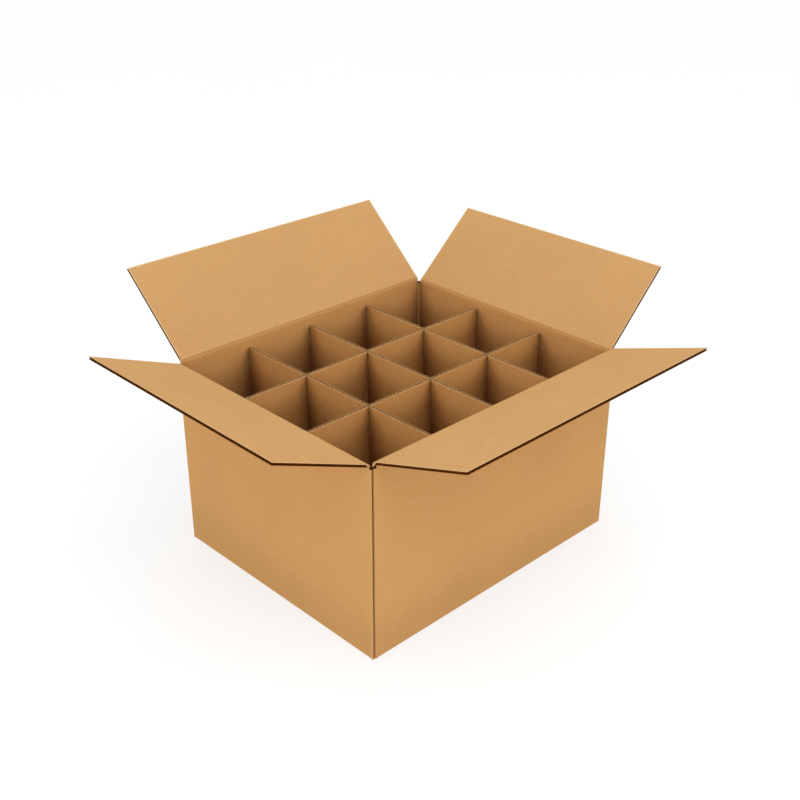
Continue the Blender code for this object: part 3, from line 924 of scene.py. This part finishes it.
for name, quarter, crease, distance, half_span, reach, lean, end_trims, base_trims in TOP_FLAPS:
    origin, along_way, out_way, climb_way, into_way = crease_frame(quarter, crease, distance, lean)
    up_way = np.array([0.0, 0.0, 1.0])
    wall_face = -out_way * (FIT_GAP + BOARD)
    liner_top = -up_way * (FIT_GAP + mitre_start + BOARD + CREASE_LAP)
    shoulder = wall_face - up_way * CREASE_SHOULDER
    line_out = -(FIT_GAP + BOARD - CREASE_LEAN_OUT)
    line = into_way * BOARD + climb_way * (line_out - into_way @ out_way * BOARD) / (climb_way @ out_way)
    flap_face = into_way * BOARD + climb_way * flap_liner_start
    shares = np.linspace(0, 1, CREASE_STATIONS + 1)
    upper = along_polyline(corners_cut([wall_face + liner_top, shoulder, line, flap_face]), shares)
    lowest = np.argmin(np.linalg.norm(upper - line, axis=1))
    from_line = np.linalg.norm(upper - upper[lowest], axis=1)
    heading = np.gradient(upper, axis=0)
    heading /= np.linalg.norm(heading, axis=1)[:, None]
    inward = np.cross(heading, along_way)
    inward *= np.sign(inward @ (into_way - out_way))[:, None]
    sunk = CREASE_LINE_DEPTH * np.exp(-(from_line / CREASE_LINE_HALF) ** 2)
    upper = upper - inward * sunk[:, None]
    wall_mitre = -out_way * FIT_GAP - up_way * (FIT_GAP + mitre_start)
    lower = along_polyline([
        wall_face + liner_top + out_way * LINER,
        wall_mitre,
        climb_way * mitre_start,
        flap_face - into_way * LINER,
    ], shares)
    strip_across = np.linspace(base_trims[0] - half_span, half_span - base_trims[1], CREASE_COLUMNS)
    places = strip_across[:, None, None] * along_way + origin
    grids = [places + curve[None, :, :] for curve in (lower, upper)]
    points, faces, _ = closed_slab(*grids)
    pressed_shade = CREASE_PRESSED_SHADE * np.exp(-(from_line / CREASE_LINE_HALF / PRESSED_SHADE_SPREAD) ** 2)
    past_line = np.where(shares > shares[np.argmin(from_line)], BOARD, 0.0)
    flat = np.zeros((len(points), 3))
    flat[:, 0] = np.tile(np.repeat(strip_across + wall_middles[quarter], len(shares)), 2)
    flat[:, 1] = np.tile(crease + np.linspace(-BOARD, BOARD, len(shares)), 2 * CREASE_COLUMNS)
    flat[:, 2] = np.tile(past_line, 2 * CREASE_COLUMNS)
    strip = paper_piece(
        name + "_crease",
        [{
            "points": points,
            "faces": faces,
            "cut": np.zeros(len(faces)),
            "sheet": flat,
            "rim": np.full(len(points), BOARD),
            "score": np.concatenate([np.zeros(len(points) // 2), np.tile(pressed_shade, CREASE_COLUMNS)]),
            "fluting": np.zeros(len(points)),
        }],
        crease_board,
    )
    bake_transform(strip)


# Partition: five loose sheets of the same board, with upright flutes. The two long ones are slotted
# from below and the three short ones from above, so that they cross and stand locked together.
CELLS_ALONG = 4
CELLS_ACROSS = 3
PARTITION_DROP = 0.0078  # from the short walls' crease to the sheets' tops
SHEET_END_GAP = 0.0020
PARTITION_SHIFT = 0.0015  # off the case's middle
SLOT_PLAY = 0.0003  # on each side of the sheet that crosses
SLOT_LEAD_IN = 0.0025
SHEET_CORNER = 0.0040
CORNER_STATIONS = 7
SHEET_ROWS = 5
sheet_low = 2 * BOARD + FIT_GAP
sheet_high = CASE_HEIGHT - PARTITION_DROP
long_sheet = CASE_LENGTH - 2 * (BOARD + SHEET_END_GAP)
short_sheet = CASE_WIDTH - 2 * (BOARD + SHEET_END_GAP)
long_slots = [long_sheet * (i / CELLS_ALONG - 0.5) for i in range(1, CELLS_ALONG)]
short_slots = [short_sheet * (i / CELLS_ACROSS - 0.5) for i in range(1, CELLS_ACROSS)]
SHEET_CUT = (0.80, 0.48, 0.20)
SHEET_FLUTING = (0.36, 0.17, 0.050)
SHEET_TONES = ((0.735, 0.388, 0.131), (0.735, 0.388, 0.131))
divider_board = kraft_board(
    "divider_board", SHEET_TONES, SHEET_FLUTING, SHEET_CUT,
    edge_highlight=0.6, crevice_shade=1.0, shelter_shade=1.0, open_edge=NO_OPEN_EDGE,
)


def divider(name, length, slots, from_top, heading, shift):
    """A partition sheet: its lower and upper outlines are functions of the distance along it, with
    a step at each slot's side, a slope at its mouth, and quarter rounds at the sheet's top corners."""
    half = length / 2
    half_slot = BOARD / 2 + SLOT_PLAY
    mouths = [s + side * (half_slot + SLOT_LEAD_IN / 2) for s in slots for side in (-1, 1)]
    sides = [s + side * half_slot for s in slots for side in (-1, 1)]
    rounds = half - SHEET_CORNER * (1 - np.cos(np.linspace(0, math.pi / 2, CORNER_STATIONS)))
    across = in_order(flute_stations(-half, half, *sides), mouths, rounds[1:], -rounds[1:])
    middle = (sheet_low + sheet_high) / 2
    low = np.full(len(across), sheet_low)
    from_end = np.clip(half - np.abs(across), 0, SHEET_CORNER)
    high = sheet_high - SHEET_CORNER + np.sqrt(SHEET_CORNER ** 2 - (SHEET_CORNER - from_end) ** 2)
    for s in slots:
        off = np.abs(across - s)
        lead = np.clip(1 - (off - half_slot) / (SLOT_LEAD_IN / 2), 0, 1) * SLOT_LEAD_IN
        if from_top:
            high = np.where(off < half_slot, middle - FIT_GAP, high - lead)
        else:
            low = np.where(off < half_slot, middle + FIT_GAP, low + lead)
    along_way = np.array([math.cos(heading), math.sin(heading), 0.0])
    face_way = np.array([-math.sin(heading), math.cos(heading), 0.0])
    origin = case_middle + np.array([*shift, 0.0])

    def shape(along, up, depth):
        flat = along[..., None] * along_way + (depth[..., None] - BOARD / 2) * face_way + origin
        flat[..., 2] = up
        return flat

    piece = paper_piece(
        name + "_board",
        board_layers(across, lambda depth: low, lambda depth: high, shape, even_rows(SHEET_ROWS)),
        divider_board,
    )
    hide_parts(name)
    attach(piece, "case")


for number, y in enumerate(short_slots, 1):
    divider(f"long_divider_{number}", long_sheet, long_slots, False, 0.0, (0.0, y + PARTITION_SHIFT))
for number, x in enumerate(long_slots, 1):
    divider(f"short_divider_{number}", short_sheet, short_slots, True, math.pi / 2, (x, PARTITION_SHIFT))


visual_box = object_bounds()
[[list(corner) for corner in box] for box in (cad_box, visual_box)]
